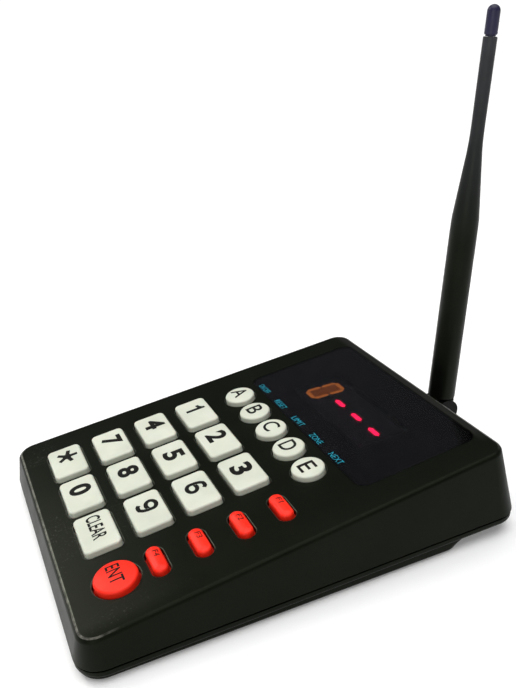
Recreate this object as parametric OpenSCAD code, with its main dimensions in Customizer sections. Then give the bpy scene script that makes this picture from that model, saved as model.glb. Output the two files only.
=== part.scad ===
// Desktop keypad transmitter for a guest paging system.
// A wedge case with a sloped face: dark display window at the rear, number, letter,
// function and enter keys in front of it, and an elbow whip antenna on the rear wall.
// Frame: +Z up, +Y towards the rear, +X to the user's right. The origin lies on the
// table under the middle of the case, where the rubber feet rest.

/* [Case] */
// Width of the case at the seam between its two shells
case_w = 122; // [120:0.5:126]
// Length of the case at the seam, front to rear
case_l = 161; // [159:0.5:166]
// Height of the sloped face above the seam, at mid length
face_h = 19; // [18.5:0.1:20]
// Slope of the face against the seam
face_slope = 5.8; // [5.4:0.1:6.2]
// Nose-down tilt that the wedge foot gives the seam
case_tilt = 1.0; // [0.6:0.1:1.2]
// Plan radius of the corners at the seam
seam_corner_r = 9; // [8:0.5:11]
// Plan radius of the corners at the face
face_corner_r = 6.5; // [5:0.5:8]
// Inward lean of the side walls
side_draft = 6.2; // [5:0.1:7]
// Inward lean of the front wall
front_draft = 10.9; // [9:0.1:12]
// Inward lean of the rear wall
rear_draft = 11.8; // [10:0.1:12.5]
// Radius that rounds the edge between face and walls
edge_r = 1.5; // [0.8:0.1:2]
// Wall thickness of both shells
wall = 2.2; // [2:0.1:2.4]
// Height of the shadow gap between the shells
seam_gap = 0.7; // [0.4:0.1:0.9]
// Depth of the lower shell below the seam, behind the wedge foot
tray_depth = 3; // [2.8:0.1:3.4]
// Depth of the wedge foot below the seam, at mid length
wedge_depth = 5.6; // [5.2:0.1:6]
// Place of the rear end of the wedge foot
wedge_end_y = 57; // [46:1:60]

/* [Keys] */
// Width of a number key
number_w = 20.3; // [19:0.1:20.6]
// Depth of a number key
number_d = 13; // [12:0.1:13.2]
// Corner radius of a number key
number_r = 2; // [1:0.1:3]
// Spacing of the number columns
number_pitch_x = 24.4; // [24:0.1:25]
// Spacing of the number rows
number_pitch_y = 18.2; // [17.8:0.1:18.4]
// Diameter of a letter key
letter_dia = 12.2; // [11:0.1:12.4]
// Spacing of the letter keys
letter_pitch = 15.5; // [15.2:0.1:15.8]
// Width of a function key
function_w = 13.2; // [12:0.1:13.6]
// Depth of a function key
function_d = 5.3; // [4.8:0.1:6]
// Spacing of the function keys
function_pitch = 14.8; // [14:0.1:15]
// Diameter of the enter key
enter_dia = 14.6; // [14:0.1:15]
// Height of the white key tops above the face
key_h = 2; // [1.8:0.1:2.4]
// Height of the enter key's top above the face
enter_h = 2.4; // [2:0.1:2.6]
// Travel of a key
key_travel = 1.2; // [0.8:0.1:1.2]

/* [Display] */
// Width of the display window
window_w = 92.4; // [90:0.1:94]
// Depth of the display window, up the face
window_d = 49; // [47:0.1:49.4]
// Corner radius of the display window
window_r = 4.5; // [3:0.5:6]
// Thickness of the display window
window_t = 1.5; // [1:0.1:1.6]
// Width of the four-digit display
display_w = 50.3; // [48:0.1:52]
// Depth of the four-digit display, up the face
display_d = 19; // [18:0.1:20]
// Thickness of the four-digit display
display_t = 8; // [7.5:0.1:8]

/* [Antenna] */
// Place of the antenna connector across the rear wall
antenna_x = -7.6; // [-12:0.1:0]
// Height of the antenna connector above the seam
antenna_z = 5.5; // [5.2:0.1:6]
// Distance of the elbow's pivot behind the rear wall's foot
elbow_y = 14; // [13.5:0.1:16]
// Rearward lean of the whip
whip_lean = 6.6; // [0:0.1:12]
// Diameter of the whip at its foot
whip_dia = 11.3; // [10:0.1:11.4]
// Diameter of the whip where its taper starts
whip_mid_dia = 10.8; // [9:0.1:11]
// Diameter of the thin upper part
whip_thin_dia = 5.2; // [4:0.1:5.5]
// Length from the pivot to the start of the taper
whip_thick_l = 83; // [78:1:100]
// Length from the pivot to the end of the taper
whip_taper_l = 114; // [108:1:130]
// Length from the pivot to the end of the sleeve
whip_sleeve_l = 150.5; // [140:0.5:155]
// Length from the pivot to the tip
whip_l = 161.4; // [158:0.1:166]

/* [Hidden] */
eps = 0.01;
arc_steps = [0, 30, 60, 90];

// Heights of the layers under the face, measured along its normal
flange_top = -wall - 0.1;
flange_t = 1;
dome_h = 3;
dome_top = flange_top - flange_t;
sheet_t = 0.8;
board_t = 1.6;
main_board_top = dome_top - dome_h - sheet_t;
main_board_bottom = main_board_top - board_t;
display_face = -wall - 0.4;
display_board_top = display_face - display_t;
display_board_bottom = display_board_top - board_t;
window_top = -0.1;

// Places on the face: x across, v up the slope, from the point above the case's middle
number_x0 = -34.4;
number_v0 = -7.5;
letter_x0 = -35.4;
letter_v = 12.8;
function_x = 39.2;
function_v0 = -4.1;
enter_x = 39.6;
enter_v = -62.2;
window_v = 46.9;
display_x = -1;
display_v = 45.2;

// Clearances
cap_clear = 0.35;
red_clear = 0.5;
lip_clear = 0.45;
slip = 0.03;
running = 0.05;

// The lower shell's lip
lip_t = 1.2;
lip_h = 1.6;

// Table level of the case: the feet stand proud of the wedge foot
foot_proud = 0.8;
foot_recess = 1;
foot_dia = 10;
seam_z = foot_proud + wedge_depth;

// The board that carries the sockets lies flat behind and under the display
io_top = 2.3;
io_w = 92;
io_y0 = 36;
io_y1 = 75;
jack_x = 26;
jack_z = io_top + 6.2;
switch_x = -32;
switch_z = io_top + 3.4;
switch_travel = 4;
buzzer_x = 37;
buzzer_y = 50;

// Screw places
case_screw_x = 51.5;
case_screw_y = [-70.5, 69.5];
head_z = -0.9;
boss_z = 1;
main_screws = [for (sx = [-1, 1], v = [-56, -20, 17]) [sx * 51, v]];
display_screws = [for (sx = [-1, 1], v = [28, 54]) [sx * 49, v]];
io_screws = [for (sx = [-1, 1], y = [41, 70.5]) [sx * 43, y]];
feet = [for (sx = [-1, 1], y = [-60, 42]) [sx * 44, y]];

// Antenna connector stations along Y
hinge_y = case_l / 2 + elbow_y;
pad_y = case_l / 2 - 0.1;
panel_nut_t = 2;
nut_y = pad_y + panel_nut_t + 0.2;
nut_l = 5;
swivel_y = nut_y + nut_l + 0.2;
swivel_disc_t = 1.6;
ear_r = 5.4;
ear_t = 2.4;
ear_x = 4.3;
tongue_r = 4.9;
tongue_t = 5.8;
sleeve_foot = 5.9;
pin_r = 1.2;

// Every key: node, kind, place across the face, place up the face
NUMBER_NODES = [
    ["key_1", "key_2", "key_3"],
    ["key_4", "key_5", "key_6"],
    ["key_7", "key_8", "key_9"],
    ["key_star", "key_0", "key_clear"]
];
KEYS = concat(
    [for (row = [0:3], col = [0:2])
        [NUMBER_NODES[row][col], "number",
         number_x0 + col * number_pitch_x, number_v0 - row * number_pitch_y]],
    [for (i = [0:4]) [str("key_", "abcde"[i]), "letter", letter_x0 + i * letter_pitch, letter_v]],
    [for (i = [0:3]) [str("key_f", i + 1), "function", function_x, function_v0 - i * function_pitch]],
    [["key_enter", "enter", enter_x, enter_v]]
);

// ---- Frames ----

// Seam frame to table frame
module in_case() {
    translate([0, 0, seam_z]) rotate([case_tilt, 0, 0]) children();
}

// Face frame to seam frame: z is the height above the face
module on_face() {
    translate([0, 0, face_h]) rotate([face_slope, 0, 0]) children();
}

// Along +Y from a point on the rear wall's centre line
module along_y(x, y, z) {
    translate([x, y, z]) rotate([-90, 0, 0]) children();
}

// Whip frame to seam frame: z runs along the whip from the pivot
module on_whip() {
    translate([antenna_x, hinge_y, antenna_z]) rotate([-whip_lean, 0, 0]) children();
}

// ---- Shapes ----

module rounded_rect(w, d, r) {
    square([w - 2 * r, d], center = true);
    square([w, d - 2 * r], center = true);
    for (sx = [-1, 1], sy = [-1, 1])
        translate([sx * (w / 2 - r), sy * (d / 2 - r)]) circle(r = r, $fn = 32);
}

module stadium(w, d) {
    square([w - d, d], center = true);
    for (sx = [-1, 1]) translate([sx * (w - d) / 2, 0]) circle(d = d, $fn = 40);
}

module slab(w, d, r, z) {
    translate([0, 0, z]) linear_extrude(eps) rounded_rect(w, d, r);
}

module ring_washer(r_out, r_in, h) {
    difference() {
        cylinder(r = r_out, h = h, $fn = 40);
        translate([0, 0, -1]) cylinder(r = r_in, h = h + 2, $fn = 40);
    }
}

// Height above the seam of the plane that lies d under the face, at length y
function layer_z(y, d) = face_h + y * tan(face_slope) - d / cos(face_slope);

// Where that plane meets the front wall and the rear wall, both moved inward by s
function front_z(d, s) =
    (face_h - d / cos(face_slope) - (case_l / 2 - s) * tan(face_slope))
    / (1 - tan(face_slope) * tan(front_draft));
function rear_z(d, s) =
    (face_h - d / cos(face_slope) + (case_l / 2 - s) * tan(face_slope))
    / (1 + tan(face_slope) * tan(rear_draft));

// One rounding step of the face's outline, d under the face and i inside the walls
module face_ring(d, i, s) {
    zf = front_z(d, s);
    zr = rear_z(d, s);
    r = face_corner_r - i - s / 2;
    for (sx = [-1, 1]) {
        translate([sx * (case_w / 2 - s - zf * tan(side_draft) - i - r),
                   -case_l / 2 + s + zf * tan(front_draft) + i + r,
                   zf + (i + r) * tan(face_slope)])
            rotate([face_slope, 0, 0]) cylinder(r = r, h = eps, $fn = 32);
        translate([sx * (case_w / 2 - s - zr * tan(side_draft) - i - r),
                   case_l / 2 - s - zr * tan(rear_draft) - i - r,
                   zr - (i + r) * tan(face_slope)])
            rotate([face_slope, 0, 0]) cylinder(r = r, h = eps, $fn = 32);
    }
}

// The wedge above the seam, with all its walls moved inward by s
module wedge(s, z0) {
    hull() {
        slab(case_w - 2 * s, case_l - 2 * s, seam_corner_r - s, z0);
        for (a = arc_steps)
            face_ring(s + edge_r * (1 - sin(a)), edge_r * (1 - cos(a)), s);
    }
}

module key_profile(kind, grow) {
    if (kind == "number")
        rounded_rect(number_w + 2 * grow, number_d + 2 * grow, number_r + grow);
    if (kind == "letter") circle(d = letter_dia + 2 * grow, $fn = 48);
    if (kind == "function") stadium(function_w + 2 * grow, function_d + 2 * grow);
    if (kind == "enter") circle(d = enter_dia + 2 * grow, $fn = 48);
}

function key_clear(kind) = kind == "enter" || kind == "function" ? red_clear : cap_clear;
function cap_top(kind) = kind == "enter" ? enter_h : key_h;
function cap_edge(kind) = kind == "function" ? 1.2 : kind == "enter" ? 1 : 0.7;
function cap_wall(kind) = kind == "function" ? 1.2 : 1.4;

// The rounded shoulder of a cap, from its side up to its top
function shoulder(half, top, edge) =
    [for (a = [0:15:90]) [half - edge * (1 - cos(a)), top - edge * (1 - sin(a))]];

module round_crown(half, top, edge) {
    rotate_extrude($fn = 48)
        polygon(concat([[0, 0], [half, 0]], shoulder(half, top, edge), [[0, top]]));
}

// The part of a cap that shows above the face
module crown(kind) {
    top = cap_top(kind);
    edge = cap_edge(kind);
    if (kind == "letter") round_crown(letter_dia / 2, top, edge);
    if (kind == "enter") round_crown(enter_dia / 2, top, edge);
    if (kind == "function") {
        half = function_d / 2;
        right = concat([[half, 0]], shoulder(half, top, edge));
        left = [for (i = [len(right) - 1:-1:0]) [-right[i][0], right[i][1]]];
        for (sx = [-1, 1])
            translate([sx * (function_w / 2 - half), 0, 0]) round_crown(half, top, edge);
        rotate([90, 0, 90])
            linear_extrude(function_w - 2 * half, center = true) polygon(concat(right, left));
    }
    if (kind == "number") hull() {
        for (a = arc_steps)
            translate([0, 0, top - edge * (1 - sin(a)) - eps])
                linear_extrude(eps) key_profile(kind, -edge * (1 - cos(a)));
        linear_extrude(eps) key_profile(kind, 0);
    }
}

// A hollow cap with a flange under the face and a plunger that stands on its dome
module key_cap(kind) {
    crown(kind);
    difference() {
        union() {
            translate([0, 0, dome_top]) linear_extrude(-dome_top) key_profile(kind, 0);
            translate([0, 0, dome_top])
                linear_extrude(flange_t) key_profile(kind, key_clear(kind) + 0.9);
        }
        translate([0, 0, dome_top - 1])
            linear_extrude(1 - dome_top) key_profile(kind, -cap_wall(kind));
    }
    translate([0, 0, dome_top]) cylinder(r = 1.4, h = -dome_top, $fn = 32);
}

module key(entry) {
    red = entry[1] == "function" || entry[1] == "enter";
    color(red ? "tomato" : "ivory")
        in_case() on_face() translate([entry[2], entry[3], 0]) key_cap(entry[1]);
}

// ---- Case ----

module boss_columns(r) {
    for (sx = [-1, 1], y = case_screw_y)
        translate([sx * case_screw_x, y, boss_z + 0.05])
            cylinder(r = r, h = layer_z(y, 1.2) - boss_z, $fn = 32);
}

module face_posts() {
    for (p = main_screws)
        translate([p[0], p[1], main_board_top])
            cylinder(r = 2.6, h = -main_board_top - 1, $fn = 32);
    for (p = display_screws)
        translate([p[0], p[1], display_board_top])
            cylinder(r = 2.6, h = -display_board_top - 1, $fn = 32);
}

module face_openings() {
    for (k = KEYS)
        translate([k[2], k[3], -2 * wall])
            linear_extrude(3 * wall) key_profile(k[1], key_clear(k[1]));
    translate([0, window_v, window_top - window_t - running])
        linear_extrude(wall) rounded_rect(window_w + 0.4, window_d + 0.4, window_r + 0.2);
    translate([0, window_v, -2 * wall])
        linear_extrude(3 * wall) rounded_rect(window_w - 4.6, window_d - 4.6, window_r - 2);
}

module post_pilots() {
    for (p = main_screws)
        translate([p[0], p[1], main_board_top - 1]) cylinder(r = 0.95 + slip, h = 5, $fn = 24);
    for (p = display_screws)
        translate([p[0], p[1], display_board_top - 1]) cylinder(r = 0.95 + slip, h = 6.5, $fn = 24);
}

module rear_wall_holes() {
    along_y(antenna_x, case_l / 2 - 12, antenna_z) cylinder(r = 3.3, h = 20, $fn = 40);
    along_y(jack_x, case_l / 2 - 12, jack_z) cylinder(r = 4.2, h = 20, $fn = 40);
    translate([switch_x, case_l / 2, switch_z]) cube([9.4, 20, 3.8], center = true);
}

module upper_shell() {
    color("dimgray") in_case() difference() {
        union() {
            difference() {
                wedge(0, seam_gap / 2);
                wedge(wall, -eps);
            }
            boss_columns(3.5);
            on_face() face_posts();
            // Flat pad that squares the leaning wall to the antenna socket
            along_y(antenna_x, pad_y - 5.2, antenna_z) cylinder(r = 6.5, h = 5.2, $fn = 48);
        }
        on_face() face_openings();
        on_face() post_pilots();
        rear_wall_holes();
        for (sx = [-1, 1], y = case_screw_y)
            translate([sx * case_screw_x, y, 0]) cylinder(r = 1.45 + slip, h = 8.8, $fn = 32);
        translate([antenna_x, pad_y - 5, -3 + seam_gap / 2])
            cube([16, 20, 6], center = true);
    }
}

function floor_z(y) =
    y < wedge_end_y ? wall - wedge_depth - y * tan(case_tilt) : wall - tray_depth;

module tray() {
    w = case_w - 0.4;
    l = case_l - 0.4;
    hull() {
        slab(w, l, seam_corner_r, -seam_gap / 2 - eps);
        for (a = arc_steps)
            slab(w - 2 * edge_r * (1 - cos(a)), l - 2 * edge_r * (1 - cos(a)),
                 seam_corner_r - edge_r * (1 - cos(a)), -tray_depth + edge_r * (1 - sin(a)));
    }
}

// The wedge foot, with all its walls moved inward by s
module wedge_foot(s) {
    front = -case_l / 2 + 1 + s;
    rear = wedge_end_y - s;
    round_r = 1.2;
    w = case_w - 2 - 2 * s;
    r = seam_corner_r - 1 - s / 2;
    hull() {
        in_case() translate([0, (front + rear + 5.4) / 2, 0])
            slab(w, rear - front + 5.4, r, 0.6 - tray_depth);
        for (a = arc_steps) {
            inset = round_r * (1 - cos(a));
            translate([0, (front + rear) / 2, 0])
                slab(w - 2 * inset, rear - front - 2 * inset, r - inset,
                     foot_proud + s + round_r * (1 - sin(a)));
        }
    }
}

module tray_space() {
    s = wall + lip_clear + lip_t;
    translate([0, 0, wall - tray_depth])
        linear_extrude(20) rounded_rect(case_w - 2 * s, case_l - 2 * s, seam_corner_r - s);
}

// The rim that stands inside the upper shell and closes the shadow gap
module lip() {
    s = wall + lip_clear;
    translate([0, 0, -1])
        linear_extrude(1 + lip_h) rounded_rect(case_w - 2 * s, case_l - 2 * s, seam_corner_r - s);
}

module floor_posts() {
    for (sx = [-1, 1], y = case_screw_y)
        translate([sx * case_screw_x, y, floor_z(y) - 0.5])
            cylinder(r = 4, h = boss_z - floor_z(y) + 0.5, $fn = 32);
    for (p = io_screws)
        translate([p[0], p[1], floor_z(p[1]) - 0.5])
            cylinder(r = 3, h = io_top - board_t - floor_z(p[1]) + 0.5, $fn = 32);
}

module lower_shell() {
    color("dimgray") difference() {
        union() {
            difference() {
                union() {
                    in_case() tray();
                    in_case() lip();
                    wedge_foot(0);
                }
                in_case() tray_space();
                wedge_foot(wall);
            }
            in_case() floor_posts();
        }
        in_case() for (sx = [-1, 1], y = case_screw_y)
            translate([sx * case_screw_x, y, -20]) {
                cylinder(r = 1.6, h = 30, $fn = 32);
                cylinder(r = 3.1, h = 20 + head_z, $fn = 32);
            }
        in_case() for (p = io_screws)
            translate([p[0], p[1], -1.4]) cylinder(r = 0.95 + slip, h = 5, $fn = 24);
        // Room in the lip for the antenna socket's pad
        in_case() translate([antenna_x, case_l / 2 - 4, 0.35 + 2])
            cube([17, 12, 4], center = true);
        for (p = feet)
            translate([p[0], p[1], 0])
                cylinder(r = foot_dia / 2 + 0.05, h = foot_proud + foot_recess, $fn = 40);
    }
}

module display_window() {
    color("midnightblue") in_case() on_face()
        translate([0, window_v, window_top - window_t])
            linear_extrude(window_t) rounded_rect(window_w, window_d, window_r);
}

module rubber_feet() {
    color("black") for (p = feet)
        translate([p[0], p[1], 0]) {
            cylinder(r1 = foot_dia / 2 - 0.6, r2 = foot_dia / 2, h = 0.6, $fn = 40);
            translate([0, 0, 0.6])
                cylinder(d = foot_dia, h = foot_proud + foot_recess - 0.6, $fn = 40);
        }
}

module case_screws() {
    color("silver") in_case() for (sx = [-1, 1], y = case_screw_y)
        translate([sx * case_screw_x, y, head_z]) {
            cylinder(r = 1.45, h = 9, $fn = 32);
            difference() {
                translate([0, 0, -2]) cylinder(r = 2.8, h = 2, $fn = 32);
                for (turn = [0, 90]) rotate([0, 0, turn])
                    translate([0, 0, -2]) cube([3.2, 0.7, 2], center = true);
            }
        }
}

// ---- Keypad and boards ----

// A switch dome: a hollow frustum of the sheet, with a pocket for the key's travel
module switch_dome() {
    rotate_extrude($fn = 32) polygon([
        [2.3, 0], [3.2, 0], [3.2, sheet_t], [2.1, sheet_t + dome_h],
        [0, sheet_t + dome_h], [0, key_travel + 0.4], [1.4, key_travel + 0.4]
    ]);
}

module dome_sheet() {
    color("gainsboro") in_case() on_face() translate([0, 0, main_board_top]) {
        difference() {
            translate([0, -25.2, 0]) linear_extrude(sheet_t) rounded_rect(93, 91, 3);
            for (k = KEYS)
                translate([k[2], k[3], -1]) cylinder(r = 3, h = 4, $fn = 32);
        }
        for (k = KEYS) translate([k[2], k[3], 0]) switch_dome();
    }
}

module main_board() {
    color("darkgreen") in_case() difference() {
        on_face() translate([0, -25.5, main_board_bottom])
            linear_extrude(board_t) square([108, 93], center = true);
        on_face() for (p = main_screws)
            translate([p[0], p[1], main_board_bottom - 1]) cylinder(r = 1.2, h = 5, $fn = 24);
        for (sx = [-1, 1])
            translate([sx * case_screw_x, case_screw_y[0], 0]) cylinder(r = 4.6, h = 20, $fn = 32);
    }
}

module main_chip() {
    color("black") in_case() on_face()
        translate([-10, -20, main_board_bottom - 1.45]) cube([12, 12, 1.4]);
}

module display_board() {
    color("darkgreen") in_case() on_face() difference() {
        translate([0, 0, display_board_bottom]) linear_extrude(board_t) {
            translate([0, 41]) square([104, 34], center = true);
            translate([0, 19]) square([40, 14], center = true);
        }
        for (p = display_screws)
            translate([p[0], p[1], display_board_bottom - 1]) cylinder(r = 1.2, h = 5, $fn = 24);
    }
}

module display_module() {
    color("black") in_case() on_face()
        translate([display_x, display_v, display_board_top])
            linear_extrude(display_t) square([display_w, display_d], center = true);
}

// The pin strip that joins the display board to the main board above it
module board_header() {
    color("black") in_case() on_face()
        translate([0, 17, (display_board_top + main_board_bottom) / 2])
            cube([25.4, 2.5, main_board_bottom - display_board_top], center = true);
}

module board_screws() {
    color("silver") in_case() {
        on_face() {
            for (p = main_screws)
                translate([p[0], p[1], main_board_bottom]) small_screw(5.4);
            for (p = display_screws)
                translate([p[0], p[1], display_board_bottom]) small_screw(6);
        }
        for (p = io_screws)
            translate([p[0], p[1], io_top]) rotate([180, 0, 0]) small_screw(3.4);
    }
}

// A pan-head screw whose shank points up from the underside of its head's seat
module small_screw(length) {
    cylinder(r = 0.95, h = length, $fn = 24);
    translate([0, 0, -1.4]) cylinder(r = 1.9, h = 1.4, $fn = 24);
}

module io_board() {
    color("darkgreen") in_case() difference() {
        translate([-io_w / 2, io_y0, io_top - board_t]) cube([io_w, io_y1 - io_y0, board_t]);
        for (p = io_screws)
            translate([p[0], p[1], io_top - board_t - 1]) cylinder(r = 1.2, h = 5, $fn = 24);
    }
}

// Flat cable from the main board's underside down to the socket board
module board_ribbon() {
    route = [[7, layer_z(7, 1.2 - main_board_bottom)], [7, 6.5], [11, 3.4], [37, 3.4], [39, io_top + 0.55]];
    color("gray") in_case() translate([-35, 0, 0]) rotate([90, 0, 90])
        linear_extrude(12.7) for (i = [0:len(route) - 2]) hull() {
            translate(route[i]) circle(r = 0.45, $fn = 12);
            translate(route[i + 1]) circle(r = 0.45, $fn = 12);
        }
}

module radio_module() {
    color("darkgreen") in_case() translate([-22, 48, io_top + 0.1]) cube([26, 17, 1]);
}

module radio_shield() {
    color("silver") in_case() translate([-19, 50.5, io_top + 1.15]) cube([17, 12, 2.6]);
}

module buzzer() {
    color("black") in_case() translate([buzzer_x, buzzer_y, io_top + 0.05])
        difference() {
            cylinder(d = 12, h = 8, $fn = 48);
            translate([0, 0, 7]) cylinder(d = 2, h = 2, $fn = 24);
        }
}

module regulator() {
    color("black") in_case() translate([-40, 48, io_top + 0.05]) cube([9, 10, 4.4]);
}

module capacitors() {
    color("slategray") in_case() for (y = [50, 60])
        translate([15, y, io_top + 0.05]) cylinder(d = 6.3, h = 6.5, $fn = 32);
}

// ---- Sockets and switch ----

module power_socket() {
    color("black") in_case() {
        difference() {
            union() {
                translate([jack_x - 4.5, 64.4, io_top + 0.05]) cube([9, 11, 10.6]);
                along_y(jack_x, 75, jack_z) cylinder(r = 4, h = 3.4, $fn = 40);
            }
            along_y(jack_x, 68.6, jack_z) cylinder(r = 2.8, h = 20, $fn = 40);
        }
        along_y(jack_x, 68, jack_z) cylinder(r = 1, h = 9, $fn = 24);
    }
}

module power_switch() {
    color("dimgray") in_case() difference() {
        translate([switch_x - 6.5, 69, io_top + 0.05]) cube([13, 6.8, 6.7]);
        translate([switch_x - 4.3, 72.6, switch_z - 1.5]) cube([8.6, 20, 3]);
    }
}

module switch_slider() {
    color("black") in_case() translate([switch_x - switch_travel / 2, 0, switch_z]) {
        translate([-2, 72.8, -1.4]) cube([4, 7.8, 2.8]);
        for (i = [-1:1]) translate([i * 1.2 - 0.3, 80.5, -1.4]) cube([0.6, 0.4, 2.8]);
    }
}

// ---- Antenna ----

module antenna_socket() {
    barrel_end = nut_y + nut_l - 2;
    color("gold") in_case() {
        translate([antenna_x - 3.15, 70.2, io_top + 0.05])
            cube([6.3, pad_y - 5.25 - 70.2, 6.35]);
        along_y(antenna_x, pad_y - 5.3, antenna_z)
            ring_washer(3.1, 0.7, barrel_end - pad_y + 5.3);
    }
}

module panel_nut() {
    color("gold") in_case() along_y(antenna_x, pad_y + 0.02, antenna_z) difference() {
        cylinder(r = 4.6, h = panel_nut_t, $fn = 6);
        translate([0, 0, -1]) cylinder(r = 3.1 + slip, h = 5, $fn = 40);
    }
}

module coupling_nut() {
    color("gold") in_case() along_y(antenna_x, nut_y, antenna_z) difference() {
        cylinder(r = 4.6, h = nut_l, $fn = 48);
        translate([0, 0, -1]) cylinder(r = 3.1 + slip, h = nut_l, $fn = 40);
        translate([0, 0, -1]) cylinder(r = 2.5 + running, h = nut_l + 2, $fn = 40);
    }
}

// The part of the elbow that turns in the coupling nut and carries the pivot's ears
module elbow_base() {
    color("black") in_case() difference() {
        union() {
            along_y(antenna_x, nut_y + nut_l - 1.7, antenna_z) cylinder(r = 3, h = 0.6, $fn = 40);
            along_y(antenna_x, nut_y + nut_l - 1.4, antenna_z) cylinder(r = 2.5, h = 2, $fn = 40);
            along_y(antenna_x, swivel_y, antenna_z) cylinder(r = ear_r, h = swivel_disc_t, $fn = 48);
            for (sx = [-1, 1]) translate([antenna_x + sx * ear_x, 0, antenna_z]) {
                translate([-ear_t / 2, hinge_y, 0]) rotate([0, 90, 0])
                    cylinder(r = ear_r, h = ear_t, $fn = 48);
                intersection() {
                    translate([-ear_t / 2, swivel_y + 1, -ear_r])
                        cube([ear_t, hinge_y - swivel_y - 1, 2 * ear_r]);
                    translate([-sx * ear_x, swivel_y, 0]) rotate([-90, 0, 0])
                        cylinder(r = ear_r, h = 10, $fn = 48);
                }
            }
        }
        translate([antenna_x - 7, hinge_y, antenna_z]) rotate([0, 90, 0])
            cylinder(r = pin_r + 0.01, h = 14, $fn = 32);
    }
}

module elbow_pin() {
    color("silver") in_case() translate([antenna_x - 5.4, hinge_y, antenna_z])
        rotate([0, 90, 0]) cylinder(r = pin_r, h = 10.8, $fn = 32);
}

module whip_sleeve() {
    color("black") in_case() on_whip() difference() {
        union() {
            rotate_extrude($fn = 64) polygon([
                [0, sleeve_foot], [whip_dia / 2 - 0.4, sleeve_foot],
                [whip_dia / 2, sleeve_foot + 0.4],
                [whip_mid_dia / 2, whip_thick_l], [whip_thin_dia / 2, whip_taper_l],
                [whip_thin_dia / 2, whip_sleeve_l], [0, whip_sleeve_l]
            ]);
            translate([-tongue_t / 2, 0, 0]) rotate([0, 90, 0])
                cylinder(r = tongue_r, h = tongue_t, $fn = 48);
            translate([-tongue_t / 2, -tongue_r, 0]) cube([tongue_t, 2 * tongue_r, sleeve_foot + 1]);
        }
        translate([-6, 0, 0]) rotate([0, 90, 0]) cylinder(r = pin_r + running, h = 12, $fn = 32);
        translate([0, 0, 8]) cylinder(r = 1, h = whip_l, $fn = 24);
    }
}

module whip_core() {
    color("peru") in_case() on_whip()
        translate([0, 0, 8.1]) cylinder(r = 0.95, h = whip_sleeve_l - 8.6, $fn = 24);
}

module whip_tip() {
    tip_r = whip_thin_dia / 2 - 0.2;
    color("black") in_case() on_whip() rotate_extrude($fn = 48) polygon(concat(
        [[0, whip_sleeve_l - 0.3], [0.9, whip_sleeve_l - 0.3], [0.9, whip_sleeve_l + 0.05],
         [tip_r - 0.5, whip_sleeve_l + 0.05], [tip_r - 0.5, whip_sleeve_l + 0.6],
         [tip_r, whip_sleeve_l + 0.9]],
        [for (a = [0:15:90])
            [tip_r * cos(a), whip_l - tip_r + tip_r * sin(a)]]
    ));
}

// ---- Assembly ----

for (entry = KEYS) key(entry);
upper_shell();
lower_shell();
display_window();
dome_sheet();
main_board();
main_chip();
display_board();
display_module();
board_header();
io_board();
board_ribbon();
radio_module();
radio_shield();
power_socket();
power_switch();
switch_slider();
buzzer();
regulator();
capacitors();
antenna_socket();
panel_nut();
coupling_nut();
elbow_base();
elbow_pin();
whip_sleeve();
whip_core();
whip_tip();
rubber_feet();
case_screws();
board_screws();
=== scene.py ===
"""Looks of the desktop keypad transmitter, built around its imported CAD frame.

Pieces are drawn in millimetres in the frame of the case, its face or its whip,
and stand in the row frame in metres.
"""

import math

import bmesh
import bpy
from mathutils import Euler, Matrix, Vector
from mathutils.geometry import delaunay_2d_cdt


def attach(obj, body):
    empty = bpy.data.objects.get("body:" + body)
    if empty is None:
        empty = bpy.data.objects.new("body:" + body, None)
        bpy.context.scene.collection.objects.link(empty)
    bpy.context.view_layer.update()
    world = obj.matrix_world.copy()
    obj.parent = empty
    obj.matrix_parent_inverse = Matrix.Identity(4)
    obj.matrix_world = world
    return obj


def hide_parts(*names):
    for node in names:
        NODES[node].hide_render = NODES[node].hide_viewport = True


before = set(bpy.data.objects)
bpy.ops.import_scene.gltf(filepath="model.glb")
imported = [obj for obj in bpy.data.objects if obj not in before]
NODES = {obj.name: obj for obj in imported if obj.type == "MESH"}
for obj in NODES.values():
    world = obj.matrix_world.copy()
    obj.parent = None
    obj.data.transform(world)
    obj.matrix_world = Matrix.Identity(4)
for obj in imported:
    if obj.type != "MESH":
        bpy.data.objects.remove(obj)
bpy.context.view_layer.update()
scene = bpy.context.scene

# ---- Sizes in millimetres and angles in degrees, in step with the CAD ----

# The case, measured from its seam
CASE_W = 122.0
CASE_L = 161.0
SEAM_Z = 6.4
SEAM_R = 9.0
SEAM_GAP = 0.7
FACE_H = 19.0
FACE_R = 6.5
SLOPE = 5.8
TILT = 1.0
SIDE_LEAN = 6.2
FRONT_LEAN = 10.9
REAR_LEAN = 11.8
EDGE_R = 1.5
WALL = 2.2
TRAY_D = 3.0
WEDGE_END = 57.0
FOOT_PROUD = 0.8
FOOT_R = 5.0
SCREW_BORE_R = 3.1
CASE_SCREWS = [(sx * 51.5, y) for sx in (-1, 1) for y in (-70.5, 69.5)]
FEET = [(sx * 44.0, y) for sx in (-1, 1) for y in (-60.0, 42.0)]

# The rear wall: antenna, power socket and switch
ANT_X = -7.6
ANT_Z = 5.5
ANT_HOLE_R = 3.3
HINGE_Y = 94.5
PAD_Y = 80.4
WHIP_LEAN = 6.6
JACK_X = 26.0
JACK_Z = 8.5
JACK_HOLE_R = 4.2
SWITCH_X = -32.0
SWITCH_Z = 5.7
SWITCH_HOLE = (9.4, 3.8)

# The face: w across, d deep, r corner, x and v its middle, top or face its height, t its thickness
WINDOW = dict(w=92.4, d=49.0, r=4.5, v=46.9, top=-0.1, t=1.5)
DISPLAY = dict(w=50.3, d=19.0, x=-1.0, v=45.2, face=-2.6, t=8.0)
DIGIT_PITCH = 12.7
WINDOW_LOW = WINDOW["top"] - WINDOW["t"]

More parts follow.
